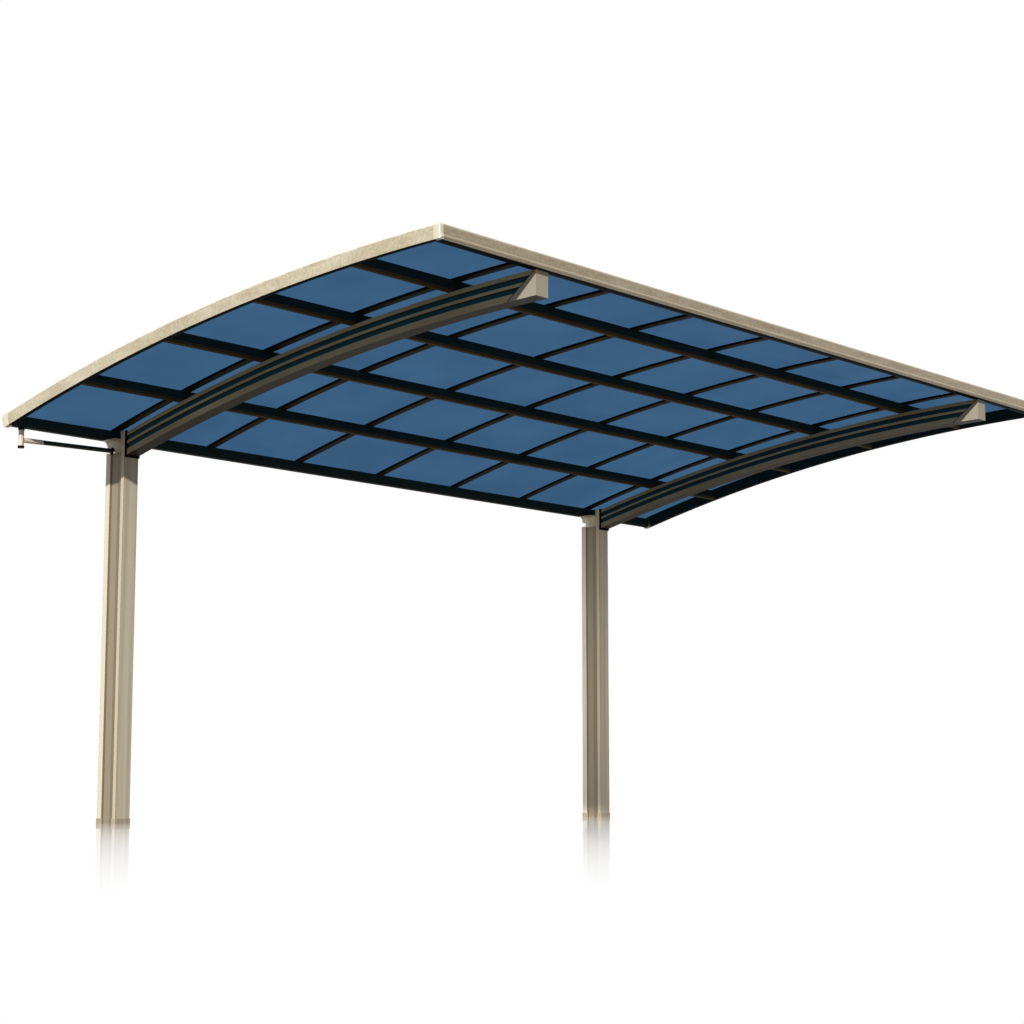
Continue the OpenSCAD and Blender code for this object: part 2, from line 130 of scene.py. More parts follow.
# the same on every coat: contrast of the fleck, tint of the faint clouds, and the orange-peel
# skin, with its depth in metres
coatSkin = {"flakeStops": (0.34, 0.5, 0.66), "flakeDetail": 3, "flakeRoughness": 0.7,
            "cloudLow": "#e2dcd2", "cloudHigh": "#ffffff", "peel": 0.12, "peelDepth": 0.0004}


def powderCoat(tree, shader, spec):
    coords = addNode(tree, "ShaderNodeTexCoord").outputs["Object"]
    # the real fleck is under 1 mm, drawn coarser so that it shows
    flake = addNode(tree, "ShaderNodeTexNoise",
                    {"Scale": perMetre(spec["flakeMm"]), "Detail": coatSkin["flakeDetail"],
                     "Roughness": coatSkin["flakeRoughness"]},
                    {"Vector": coords})
    low, middle, high = coatSkin["flakeStops"]
    tone = addNode(tree, "ShaderNodeValToRGB", None, {"Fac": flake.outputs["Fac"]},
                   [(low, spec["dark"]), (high, spec["light"]), (middle, spec["mid"])])
    drawn = addNode(tree, "ShaderNodeMapping", {"Scale": spec["stretch"]}, {"Vector": coords})
    cloud = addNode(tree, "ShaderNodeTexNoise", {"Scale": perMetre(spec["cloudMm"]), "Detail": 2},
                    {"Vector": drawn.outputs["Vector"]})
    shade = addNode(tree, "ShaderNodeValToRGB", None, {"Fac": cloud.outputs["Fac"]},
                    [(softLow, coatSkin["cloudLow"]), (softHigh, coatSkin["cloudHigh"])])
    colour = addNode(tree, "ShaderNodeMix", {mixFactor: 1.0},
                     {mixA: tone.outputs["Color"], mixB: shade.outputs["Color"]},
                     data_type="RGBA", blend_type="MULTIPLY")
    rough = addNode(tree, "ShaderNodeMapRange",
                    {"To Min": spec["roughLow"], "To Max": spec["roughHigh"]},
                    {"Value": flake.outputs["Fac"]})
    tree.links.new(rough.outputs["Result"], shader.inputs["Roughness"])
    peel = addNode(tree, "ShaderNodeTexNoise", {"Scale": perMetre(spec["peelMm"]), "Detail": 1},
                   {"Vector": coords})
    bump = addNode(tree, "ShaderNodeBump",
                   {"Strength": coatSkin["peel"], "Distance": coatSkin["peelDepth"]},
                   {"Height": peel.outputs["Fac"]})
    tree.links.new(bump.outputs["Normal"], shader.inputs["Normal"])
    return colour.outputs[mixOut]


def frameFinish(name, coat):
    material, tree, shader = startMaterial(name, {"IOR": solidIor})
    painted = powderCoat(tree, shader, coat)
    # painted highlight: faces that look up are painted paler, standing in for the light from above
    normal = addNode(tree, "ShaderNodeTexCoord").outputs["Normal"]
    facing = addNode(tree, "ShaderNodeSeparateXYZ", None, {"Vector": normal})
    up = addNode(tree, "ShaderNodeMapRange",
                 {"From Min": coat["litTopFrom"], "From Max": coat["litTopTo"]},
                 {"Value": facing.outputs["Z"]})
    colour = addNode(tree, "ShaderNodeMix", {mixB: hexColour(coat["edge"])},
                     {mixFactor: up.outputs["Result"], mixA: painted}, data_type="RGBA")
    tree.links.new(colour.outputs[mixOut], shader.inputs["Base Color"])
    return material


# The arms' flutes are painted a dark teal, so the ribs stand out as three pale lines; this is
# painted shade in the recesses with a painted reflection of the blue sheets. The posts' channels
# are painted darker than the strips beside them, and darkest on their steep walls, which is painted
# shade in the recess. The stops run from faces that look to the open front to faces that look back,
# so each face is painted lighter or darker by how it turns to the light. Widths are in metres.
armGroove = {"stops": [(0.0, "#1a4855"), (1.0, "#1f515f")],
             "under": "#362a15", "underMix": 1.0, "halfWidth": 0.042, "specular": 0.03}
postGroove = {"stops": [(0.0, "#6f624d"), (1.0, "#6f624d"), (0.3, "#6f624d"), (0.36, "#92856d"),
                        (0.47, "#92856d"), (0.54, "#80735d"), (0.8, "#80735d")],
              "under": "#877a62", "underMix": 0.7, "halfWidth": 0.05, "specular": 0.5}
grooveEdge = {"lip": 0.0012, "slant": 0.25, "underFrom": -0.6, "underTo": -0.9}
# painted light: the strip behind a post's channel is painted paler, standing in for the sun on it
# where the roof doesn't shade it
litStripSpec = {"colour": "#f0e6cf", "mix": 0.6, "rearY": 0.04}


def groovedFinish(name, centreX, coat, groove, litStrip=None):
    material, tree, shader = startMaterial(name, {"IOR": solidIor,
                                                  "Specular IOR Level": groove["specular"]})
    painted = powderCoat(tree, shader, coat)
    coords = addNode(tree, "ShaderNodeTexCoord")
    place = addNode(tree, "ShaderNodeSeparateXYZ", None, {"Vector": coords.outputs["Object"]})
    facing = addNode(tree, "ShaderNodeSeparateXYZ", None, {"Vector": coords.outputs["Normal"]})
    offset = addNode(tree, "ShaderNodeMath", {1: centreX}, {0: place.outputs["X"]},
                     operation="SUBTRACT")
    depth = addNode(tree, "ShaderNodeMath", None, {0: offset.outputs[0]}, operation="ABSOLUTE")
    sunk = addNode(tree, "ShaderNodeMath", {1: groove["halfWidth"] - grooveEdge["lip"]},
                   {0: depth.outputs[0]}, operation="LESS_THAN")
    sideways = addNode(tree, "ShaderNodeMath", None, {0: facing.outputs["X"]},
                       operation="ABSOLUTE")
    onSide = addNode(tree, "ShaderNodeMath", {1: grooveEdge["slant"]}, {0: sideways.outputs[0]},
                     operation="GREATER_THAN")
    inGroove = addNode(tree, "ShaderNodeMath", None, {0: sunk.outputs[0], 1: onSide.outputs[0]},
                       operation="MULTIPLY")
    # painted light: the post's rear strip is painted paler
    if litStrip:
        rearward = addNode(tree, "ShaderNodeMapRange",
                           {"From Max": litStrip["rearY"], "To Max": litStrip["mix"]},
                           {"Value": place.outputs["Y"]})
        paintedLightShare = addNode(tree, "ShaderNodeMath", None,
                         {0: onSide.outputs[0], 1: rearward.outputs["Result"]},
                         operation="MULTIPLY")
        paintedLit = addNode(tree, "ShaderNodeMix", {mixB: hexColour(litStrip["colour"])},
                           {mixFactor: paintedLightShare.outputs[0], mixA: painted}, data_type="RGBA")
        painted = paintedLit.outputs[mixOut]
    # painted shade: the recess takes the stop colours, lighter or darker by which way each face
    # turns
    turned = addNode(tree, "ShaderNodeMapRange", {"From Min": -1.0}, {"Value": facing.outputs["Y"]})
    recessShade = addNode(tree, "ShaderNodeValToRGB", None, {"Fac": turned.outputs["Result"]},
                    groove["stops"])
    grooved = addNode(tree, "ShaderNodeMix", None,
                      {mixFactor: inGroove.outputs[0], mixA: painted, mixB: recessShade.outputs["Color"]},
                      data_type="RGBA")
    # painted shade: faces that look down are painted toward the darker "under" colour
    down = addNode(tree, "ShaderNodeMapRange",
                   {"From Min": grooveEdge["underFrom"], "From Max": grooveEdge["underTo"],
                    "To Max": groove["underMix"]},
                   {"Value": facing.outputs["Z"]})
    colour = addNode(tree, "ShaderNodeMix", {mixB: hexColour(groove["under"])},
                     {mixFactor: down.outputs["Result"], mixA: grooved.outputs[mixOut]},
                     data_type="RGBA")
    tree.links.new(colour.outputs[mixOut], shader.inputs["Base Color"])
    return material


# Dark bronze finish on the aluminium bars under the roof, the gutter, the front beam and the
# drain's cross pipe: nearly black and satin, with fine die lines along the bar. The near-black teal
# tone is painted shade: it stands in for the blue-tinted shade under the sheets. Faces that look
# down are painted browner, which is painted light bounced up from the ground, except on the front
# beam, where they are painted near black as painted shade.
shadeBronzeSpec = {"dark": "#213131", "mid": "#2b3f40", "lineMm": 2.5, "stretch": 0.02,
              "roughness": 0.5, "specular": 0.01, "underFrom": -0.3, "underTo": -0.75,
              "bump": 0.08, "bumpDepth": 0.0003}


def shadeBronzeFinish(name, paintedUnderColour, lineAxis):
    material, tree, shader = startMaterial(name, {"Roughness": shadeBronzeSpec["roughness"],
                                                  "Specular IOR Level": shadeBronzeSpec["specular"]})
    coords = addNode(tree, "ShaderNodeTexCoord")
    along = [1.0, 1.0, 1.0]
    along[lineAxis] = shadeBronzeSpec["stretch"]
    drawn = addNode(tree, "ShaderNodeMapping", {"Scale": along},
                    {"Vector": coords.outputs["Object"]})
    lines = addNode(tree, "ShaderNodeTexNoise",
                    {"Scale": perMetre(shadeBronzeSpec["lineMm"]), "Detail": 2},
                    {"Vector": drawn.outputs["Vector"]})
    tone = addNode(tree, "ShaderNodeValToRGB", None, {"Fac": lines.outputs["Fac"]},
                   [(rampLow, shadeBronzeSpec["dark"]), (rampHigh, shadeBronzeSpec["mid"])])
    facing = addNode(tree, "ShaderNodeSeparateXYZ", None, {"Vector": coords.outputs["Normal"]})
    # faces that look down take the colour passed in: painted ground light on most bars, painted
    # shade on the front beam
    down = addNode(tree, "ShaderNodeMapRange",
                   {"From Min": shadeBronzeSpec["underFrom"], "From Max": shadeBronzeSpec["underTo"]},
                   {"Value": facing.outputs["Z"]})
    colour = addNode(tree, "ShaderNodeMix", {mixB: hexColour(paintedUnderColour)},
                     {mixFactor: down.outputs["Result"], mixA: tone.outputs["Color"]},
                     data_type="RGBA")
    tree.links.new(colour.outputs[mixOut], shader.inputs["Base Color"])
    bump = addNode(tree, "ShaderNodeBump",
                   {"Strength": shadeBronzeSpec["bump"], "Distance": shadeBronzeSpec["bumpDepth"]},
                   {"Height": lines.outputs["Fac"]})
    tree.links.new(bump.outputs["Normal"], shader.inputs["Normal"])
    return material


# Blue-tinted polycarbonate: extruded flat and bent on site, clear right through with an even
# tint. Its underside is embossed very finely, which takes the reflections off it, so the IOR is
# brought down from 1.58. The glossy weather layer is on the upper side only.
sheetSpec = {"deep": "#375a7b", "tint": "#3c6285", "cloudMm": 500, "roughness": 0.02, "ior": 1.01,
             "coatRough": 0.05, "upperTilt": 0.5}


def sheetFinish():
    material, tree, shader = startMaterial("tintedPolycarbonate", {
        "IOR": sheetSpec["ior"], "Transmission Weight": 1.0, "Roughness": sheetSpec["roughness"],
        "Coat Roughness": sheetSpec["coatRough"]})
    coords = addNode(tree, "ShaderNodeTexCoord")
    cloud = addNode(tree, "ShaderNodeTexNoise",
                    {"Scale": perMetre(sheetSpec["cloudMm"]), "Detail": 2},
                    {"Vector": coords.outputs["Object"]})
    tone = addNode(tree, "ShaderNodeValToRGB", None, {"Fac": cloud.outputs["Fac"]},
                   [(softLow, sheetSpec["deep"]), (softHigh, sheetSpec["tint"])])
    tree.links.new(tone.outputs["Color"], shader.inputs["Base Color"])
    facing = addNode(tree, "ShaderNodeSeparateXYZ", None, {"Vector": coords.outputs["Normal"]})
    upper = addNode(tree, "ShaderNodeMath", {1: sheetSpec["upperTilt"]},
                    {0: facing.outputs["Z"]}, operation="GREATER_THAN")
    inside = addNode(tree, "ShaderNodeNewGeometry").outputs["Backfacing"]
    outside = addNode(tree, "ShaderNodeMath", None, {0: upper.outputs[0], 1: inside},
                      operation="SUBTRACT", use_clamp=True)
    tree.links.new(outside.outputs[0], shader.inputs["Coat Weight"])
    return material


# Moulded ASA: coloured through, so the caps are smooth and satin with a faint mould grain. Faces
# that look down are painted darker, which is painted shade. The arm caps are a darker copy of the
# corner caps, painted shade, with a near-black underside.
cornerSpec = {"dark": "#d2c7b1", "light": "#e0d7c3", "under": "#a0947c",
              "grainMm": 4, "roughness": 0.42, "specular": 0.5}
armCapSpec = {"dark": "#a29885", "light": "#aea491", "under": "#2c261b",
              "grainMm": 4, "roughness": 0.5, "specular": 0.05}

# EPDM rubber: extruded with carbon black, so it is matt and nearly black with a dusty bloom.
rubberSpec = {"dark": "#0b0c0d", "light": "#17181a", "under": "#0b0c0d",
              "grainMm": 6, "roughness": 0.75, "specular": 0.02}

# Extruded PVC pipe in a cream shade: smooth and satin, slightly chalky in patches.
pipeSpec = {"dark": "#dccbb4", "light": "#ecdfcb", "under": "#c4b39b",
            "grainMm": 30, "roughness": 0.4, "specular": 0.5}

# Stainless steel fasteners: cold-headed and tumbled, so they are bright with a soft even blur.
steelSpec = {"dark": "#b9b7b0", "light": "#d8d6d0", "under": "#a3a19b",
             "grainMm": 3, "roughness": 0.3, "specular": 0.5, "metallic": 1.0}

# the same on all of these; faces that look down are painted toward the "under" colour, which is
# painted shade; the bump's depth is in metres
grainSkin = {"underFrom": -0.4, "underTo": -0.9, "bump": 0.1, "bumpDepth": 0.0003}


def grainFinish(name, spec):
    material, tree, shader = startMaterial(name, {"Roughness": spec["roughness"], "IOR": solidIor,
                                                  "Specular IOR Level": spec["specular"],
                                                  "Metallic": spec.get("metallic", 0.0)})
    coords = addNode(tree, "ShaderNodeTexCoord")
    grain = addNode(tree, "ShaderNodeTexNoise", {"Scale": perMetre(spec["grainMm"]), "Detail": 3},
                    {"Vector": coords.outputs["Object"]})
    tone = addNode(tree, "ShaderNodeValToRGB", None, {"Fac": grain.outputs["Fac"]},
                   [(rampLow, spec["dark"]), (rampHigh, spec["light"])])
    facing = addNode(tree, "ShaderNodeSeparateXYZ", None, {"Vector": coords.outputs["Normal"]})
    # painted shade on faces that look down
    down = addNode(tree, "ShaderNodeMapRange",
                   {"From Min": grainSkin["underFrom"], "From Max": grainSkin["underTo"]},
                   {"Value": facing.outputs["Z"]})
    colour = addNode(tree, "ShaderNodeMix", {mixB: hexColour(spec["under"])},
                     {mixFactor: down.outputs["Result"], mixA: tone.outputs["Color"]},
                     data_type="RGBA")
    tree.links.new(colour.outputs[mixOut], shader.inputs["Base Color"])
    bump = addNode(tree, "ShaderNodeBump",
                   {"Strength": grainSkin["bump"], "Distance": grainSkin["bumpDepth"]},
                   {"Height": grain.outputs["Fac"]})
    tree.links.new(bump.outputs["Normal"], shader.inputs["Normal"])
    return material


farX = 4.2  # metres from the near post to the far one


def pairFinish(name, coat, groove, litStrip=None):
    # one finish for the near side and one for the far side
    return [groovedFinish(name + side, x, coat, groove, litStrip)
            for side, x in (("Near", 0.0), ("Far", farX))]


sidePaint = frameFinish("champagneSidePowderCoat", sideCoat)
frontPaint = frameFinish("champagneFrontPowderCoat", frontCoat)
armPaint = pairFinish("flutedArmCoat", armCoat, armGroove)
postPaint = pairFinish("postCoat", postCoat, postGroove, litStripSpec)
footPaint = pairFinish("footCoat", footCoat, postGroove)
# painted shade: the dark bar finishes, each with a painted colour for faces that look down
shadePurlinFinish = shadeBronzeFinish("paintedShadePurlin", "#52432a", alongX)
shadeGutterFinish = shadeBronzeFinish("paintedShadeGutter", "#3a3020", alongX)
shadeBeamFinish = shadeBronzeFinish("paintedShadeBeam", "#0e0c08", alongX)
shadeRafterFinish = shadeBronzeFinish("paintedShadeRafter", "#332b1b", alongY)
shadePipeFinish = shadeBronzeFinish("paintedShadePipe", "#655842", alongX)
tintedSheet = sheetFinish()
cornerCap = grainFinish("mouldedAsaCorner", cornerSpec)
armCap = grainFinish("mouldedAsaArmCap", armCapSpec)
rubber = grainFinish("epdmRubber", rubberSpec)
pipePlastic = grainFinish("extrudedPvc", pipeSpec)
steel = grainFinish("tumbledStainless", steelSpec)

slotFinish = {"champagne_aluminium": sidePaint, "dark_bronze": shadePurlinFinish, "pale_cap": cornerCap,
              "blue_sheet": tintedSheet, "black_gasket": rubber, "drain_pipe": pipePlastic}
nodeFinish = {"near_arm_cap": armCap, "far_arm_cap": armCap, "front_frame": frontPaint,
              "front_beam": shadeBeamFinish, "gutter": shadeGutterFinish, "drain_cross_pipe": shadePipeFinish}
for piece, paint in (("arm", armPaint), ("post", postPaint), ("post_head", postPaint),
                     ("foot", footPaint)):
    nodeFinish["near_" + piece], nodeFinish["far_" + piece] = paint
for row in frame["record"]["subparts"]:
    name = row["node"]
    finish = nodeFinish.get(name, slotFinish[row["material_slot"]])
    if name.startswith("rafter") or name.endswith("side_rail"):
        finish = shadeRafterFinish
    frame["nodes"][name].data.materials.clear()
    frame["nodes"][name].data.materials.append(finish)
print("materials on", len(frame["nodes"]), "nodes")

# the roof's arch at the rafters' underside, metres
roofArch = {"gutterY": 0.05, "reach": 3.13, "rise": 0.458, "radius": 12.8, "eave": 2.165,
            "bay": 0.7, "rafters": 7}


def archCentre(arch):
    chord = math.hypot(arch["reach"], arch["rise"])
    drop = math.sqrt(arch["radius"] ** 2 - (chord / 2) ** 2)
    return (arch["gutterY"] - arch["reach"] / 2 - arch["rise"] / chord * drop,
            arch["eave"] + arch["rise"] / 2 - arch["reach"] / chord * drop)


arcY, arcZ = archCentre(roofArch)


def roofSpot(x, y, level=0.0):
    # a place over the arch: local X along the carport, local Z square to the sheets
    radius = roofArch["radius"] + level
    angle = math.acos((y - arcY) / radius)
    normal = Vector((0, math.cos(angle), math.sin(angle)))
    along = Vector((1, 0, 0))
    spot = Matrix((along, normal.cross(along), normal)).transposed().to_4x4()
    spot.translation = (x, arcY + radius * normal.y, arcZ + radius * normal.z)
    return spot


def steps(start, end, count):
    return [start + (end - start) * i / (count - 1) for i in range(count)]


def latheChunk(profile, sides, place):
    # turns (radius, height) points round the place's Z; the ends lie on the axis
    points, faces, rings = [], [], []
    for radius, height in profile:
        turns = 1 if radius == 0 else sides
        rings.append([len(points) + i for i in range(turns)])
        for i in range(turns):
            turn = 2 * math.pi * i / sides
            spot = Vector((radius * math.cos(turn), radius * math.sin(turn), height))
            points.append(place @ spot)
    for low, high in zip(rings, rings[1:]):
        for i in range(sides):
            j = (i + 1) % sides
            corners = [low[i % len(low)], low[j % len(low)],
                       high[j % len(high)], high[i % len(high)]]
            faces.append(list(dict.fromkeys(corners)))
    return points, faces


def sweepChunk(outline, places):
    # carries a closed (x, z) outline through the places
    points, faces = [], []
    count = len(outline)
    for place in places:
        points += [place @ Vector((x, 0, z)) for x, z in outline]
    for ring in range(len(places) - 1):
        low, high = ring * count, (ring + 1) * count
        for i in range(count):
            j = (i + 1) % count
            faces.append([low + i, low + j, high + j, high + i])
    faces.append(list(range(count)))
    faces.append([len(points) - 1 - i for i in range(count)])
    return points, faces


sharpDegrees = 35  # edges steeper than this stay crisp


def buildPiece(name, chunks, material):
    points, faces = [], []
    for chunkPoints, chunkFaces in chunks:
        first = len(points)
        points += chunkPoints
        faces += [[first + i for i in face] for face in chunkFaces]
    mesh = bpy.data.meshes.new(name)
    mesh.from_pydata(points, [], faces)
    shape = bmesh.new()
    shape.from_mesh(mesh)
    bmesh.ops.recalc_face_normals(shape, faces=shape.faces)
    shape.to_mesh(mesh)
    shape.free()
    mesh.polygons.foreach_set("use_smooth", [True] * len(mesh.polygons))
    mesh.set_sharp_from_angle(angle=math.radians(sharpDegrees))
    mesh.materials.append(material)
    piece = bpy.data.objects.new(name, mesh)
    bpy.context.scene.collection.objects.link(piece)
    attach(piece, "root")
    return piece


rafterXs = [i * roofArch["bay"] for i in range(roofArch["rafters"])]

# glazing seals in the corners between bars and sheets, metres above the rafters' underside
sealSpec = {"radius": 0.0022, "sides": 6, "sink": 0.0006, "barHalf": 0.023,
            "sheetLow": 0.0073, "sheetHigh": 0.0103,
            "rearY": 0.070, "frontY": -3.039, "rings": 41}


def addSeals(spec):
    reach = spec["radius"] - spec["sink"]
    turns = [2 * math.pi * i / spec["sides"] for i in range(spec["sides"])]
    outline = [(spec["radius"] * math.cos(turn), spec["radius"] * math.sin(turn))
               for turn in turns]
    ys = steps(spec["rearY"], spec["frontY"], spec["rings"])
    below, above = spec["sheetLow"] - reach, spec["sheetHigh"] + reach
    chunks = []
    for x in rafterXs:
        for side in (-1, 1):
            sealX = x + side * (spec["barHalf"] + reach)
            for level in (below, above):
                chunks.append(sweepChunk(outline, [roofSpot(sealX, y, level) for y in ys]))
    low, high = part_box("front_beam")
    for sealX in (low.x + reach, high.x - reach):
        chunks.append(sweepChunk(outline, [roofSpot(sealX, y, above) for y in ys]))
    buildPiece("glazing_seals", chunks, rubber)


addSeals(sealSpec)

# black strips under the side frames and the front frame, metres; they are painted shade, standing
# in for the deep shade on the frames' undersides
undersideShadeSpec = {"t": 0.002, "level": -0.058, "inset": 0.001, "frontInset": 0.014,
            "rearY": 0.044, "rings": 41}


def addUndersideShade(spec):
    def outline(half):
        return [(-half, -spec["t"]), (half, -spec["t"]), (half, 0), (-half, 0)]

    chunks = []
    for node in ("near_side_frame", "far_side_frame"):
        low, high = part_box(node)
        half = (high.x - low.x) / 2 - spec["inset"]
        ys = steps(spec["rearY"], low.y + spec["inset"], spec["rings"])
        places = [roofSpot((low.x + high.x) / 2, y, spec["level"]) for y in ys]
        chunks.append(sweepChunk(outline(half), places))
    low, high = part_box("front_frame")
    half = (high.y - low.y - spec["frontInset"]) / 2
    turned = Matrix.Rotation(math.radians(90), 4, "Z")
    ends = [Matrix.Translation((x, high.y - half, low.z)) @ turned for x in (low.x, high.x)]
    chunks.append(sweepChunk(outline(half), ends))
    buildPiece("frame_underside_shade", chunks, rubber)


addUndersideShade(undersideShadeSpec)

# roofing screws down the middle of every rafter, metres; tapers and bevel are shares
screwSpec = {"level": 0.0146, "rearY": 0.02, "frontY": -2.78, "count": 9,
             "padRadius": 0.008, "padT": 0.002, "roundSides": 16,
             "plateRadius": 0.0072, "plateT": 0.001, "plateTaper": 0.94,
             "headRadius": 0.0046, "headT": 0.0042, "headTaper": 0.8, "headBevel": 0.25,
             "headSides": 6}


def addRoofScrews(spec):
    padTop = spec["padT"]
    plateTop = padTop + spec["plateT"]
    headTop = plateTop + spec["headT"]
    plateR, headR = spec["plateRadius"], spec["headRadius"]
    pad = [(0, 0), (spec["padRadius"], 0), (plateR, padTop), (0, padTop)]
    plate = [(0, padTop), (plateR, padTop), (plateR * spec["plateTaper"], plateTop), (0, plateTop)]
    head = [(0, plateTop), (headR, plateTop), (headR, headTop - spec["headT"] * spec["headBevel"]),
            (headR * spec["headTaper"], headTop), (0, headTop)]
    pads, heads = [], []
    for x in rafterXs:
        for y in steps(spec["rearY"], spec["frontY"], spec["count"]):
            spot = roofSpot(x, y, spec["level"])
            pads.append(latheChunk(pad, spec["roundSides"], spot))
            heads.append(latheChunk(plate, spec["roundSides"], spot))
            heads.append(latheChunk(head, spec["headSides"], spot))
    buildPiece("roof_screw_pads", pads, rubber)
    buildPiece("roof_screws", heads, steel)


addRoofScrews(screwSpec)

# moulded plugs on the rafters' open rear ends, over the gutter, metres; straight is a share of t
plugSpec = {"half": 0.0245, "low": -0.001, "high": 0.0156, "round": 0.003, "t": 0.004,
            "straight": 0.7, "bevel": 0.0012, "rearY": 0.0722}


def addRafterPlugs(spec):
    def outline(inset):
        half, r = spec["half"] - inset, spec["round"]
        low, high = spec["low"] + inset, spec["high"] - inset
        return [(r - half, low), (half - r, low), (half, low + r), (half, high - r),
                (half - r, high), (r - half, high), (-half, high - r), (-half, low + r)]

    straight = Matrix.Translation((0, spec["t"] * spec["straight"], 0))
    whole = Matrix.Translation((0, spec["t"], 0))
    chunks = []
    for x in rafterXs:
        rear = roofSpot(x, spec["rearY"])
        points, faces = sweepChunk(outline(0), [rear, rear @ straight, rear @ whole])
        lip = [(rear @ whole) @ Vector((px, 0, pz)) for px, pz in outline(spec["bevel"])]
        points[-len(lip):] = lip
        chunks.append((points, faces))
    buildPiece("rafter_end_plugs", chunks, rubber)


addRafterPlugs(plugSpec)

# button-head bolts through the post heads' bases, metres from the post's middle; the washer's
# edge, the dome and the socket's floor are shares of radius and height
boltSpec = {"y": 0.008, "z": 2.036, "sideX": 0.05, "sides": 24,
            "washer": 0.0085, "washerT": 0.0012, "washerEdge": ((1.0, 0.6), (0.95, 1.0)),
            "radius": 0.0068, "h": 0.0042, "dome": ((1.0, 0.0), (0.9, 0.55), (0.66, 0.88)),
            "socket": 0.0026, "socketFloor": 0.45}


def addHeadBolts(spec):
    t, h, socket = spec["washerT"], spec["h"], spec["socket"]
    edge = [(spec["washer"] * wide, t * up) for wide, up in spec["washerEdge"]]
    washer = [(0, 0), (spec["washer"], 0), *edge, (0, t)]
    dome = [(spec["radius"] * wide, t + h * up) for wide, up in spec["dome"]]
    floorZ = t + h * spec["socketFloor"]
    head = [(0, t), *dome, (socket, t + h), (socket, floorZ), (0, floorZ)]
    chunks = []
    for postX in (0.0, farX):
        for side in (-1, 1):
            turn = Matrix.Rotation(math.radians(90 * side), 4, "Y")
            spot = Matrix.Translation((postX + side * spec["sideX"], spec["y"], spec["z"])) @ turn
            chunks.append(latheChunk(washer, spec["sides"], spot))
            chunks.append(latheChunk(head, spec["sides"], spot))
    buildPiece("head_bolts", chunks, steel)


addHeadBolts(boltSpec)

# rubber lip along the slanting joint between an arm and its wedge cap, metres
capSeamSpec = {"t": 0.002, "wide": 0.004, "side": 0.042, "slack": 0.001}


def addCapSeams(spec):
    chunks = []
    for node in ("near_arm_cap", "far_arm_cap"):
        low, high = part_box(node)
        centreX = (low.x + high.x) / 2
        top = Vector((0, low.y, high.z))
        corners = [v.co for v in frame["nodes"][node].data.vertices]
        rearZ = min(co.z for co in corners if co.y > high.y - spec["slack"])
        slope = Vector((0, high.y, rearZ)) - top
        across = Vector((0, -slope.z, slope.y)).normalized() * spec["wide"]
        for side in (-1, 1):
            inner = Vector((centreX + side * spec["side"], 0, 0))
            outer = inner + Vector((side * spec["t"], 0, 0))
            base = [inner, outer, outer + across, inner + across]
            points = [top + p for p in base] + [top + slope + p for p in base]
            faces = [[0, 1, 2, 3], [7, 6, 5, 4]]
            faces += [[i, i + 4, (i + 1) % 4 + 4, (i + 1) % 4] for i in range(4)]
            chunks.append((points, faces))
    buildPiece("arm_cap_seams", chunks, rubber)


addCapSeams(capSeamSpec)

# flange where the cross pipe meets the near post's head, metres; bevel is a share of outer,
# straight and collarTall are shares of t, and collar of the pipe
flangeSpec = {"pipe": 0.0125, "outer": 0.019, "t": 0.004, "gap": 0.0002, "sides": 32,
              "bevel": 0.93, "straight": 0.6, "collar": (1.12, 1.02), "collarTall": 2.2}


def addFlange(spec):
    low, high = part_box("drain_cross_pipe")
    pipe, outer, t, gap = spec["pipe"], spec["outer"], spec["t"], spec["gap"]
    place = Matrix.Translation((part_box("near_post")[0].x, low.y + pipe, high.z - pipe))
    spot = place @ Matrix.Rotation(math.radians(-90), 4, "Y")
    collarLow, collarHigh = [pipe * share for share in spec["collar"]]
    tall = t * spec["collarTall"]
    profile = [(0, gap), (outer, gap), (outer, t * spec["straight"]), (outer * spec["bevel"], t),
               (collarLow, t), (collarHigh, tall), (0, tall)]
    flange = latheChunk(profile, spec["sides"], spot)
    buildPiece("cross_pipe_flange", [flange], rubber)


addFlange(flangeSpec)

# cream piece over the cross pipe's end by the drop pipe, metres; it is painted light, standing in
# for the sunlit end of the pipe, whose dark finish is painted shade
litPipeEndSpec = {"drop": (-0.62, 0.0775, 2.039), "post": (-0.05, 0.027, 2.045),
              "from": 0.014, "to": 0.13, "radius": 0.0137, "lip": 0.0012, "sides": 32}


def addLitPipeEnd(spec):
    travel = Vector(spec["post"]) - Vector(spec["drop"])
    turn = travel.to_track_quat("Z", "Y").to_matrix().to_4x4()
    spot = Matrix.Translation(spec["drop"]) @ turn
    outer, start, end, lip = spec["radius"], spec["from"], spec["to"], spec["lip"]
    profile = [(0, start), (outer - lip, start), (outer, start + lip),
               (outer, end - lip), (outer - lip, end), (0, end)]
    litEnd = latheChunk(profile, spec["sides"], spot)
    buildPiece("cross_pipe_lit_end", [litEnd], pipePlastic)


addLitPipeEnd(litPipeEndSpec)
print("small pieces added")

# floor, plain and pale; its polish fades away from the feet, metres
floorSpec = {"size": 80.0, "pale": "#f2f1ee", "bounce": "#7a756e", "white": 0.88,
             "shadeReach": 4.5, "gloss": 1.0, "glossRough": 0.03, "fade": 8.0, "ior": 1.33}


def seenRays(tree):
    # 1 for camera rays, and for the glossy and clear ones, which have to see plain white too
    path = addNode(tree, "ShaderNodeLightPath").outputs
    clear = addNode(tree, "ShaderNodeMath", None,
                    {0: path["Is Glossy Ray"], 1: path["Is Transmission Ray"]}, operation="ADD")
    seen = addNode(tree, "ShaderNodeMath", None,
                   {0: path["Is Camera Ray"], 1: clear.outputs[0]},
                   operation="ADD", use_clamp=True)
    return seen.outputs[0]


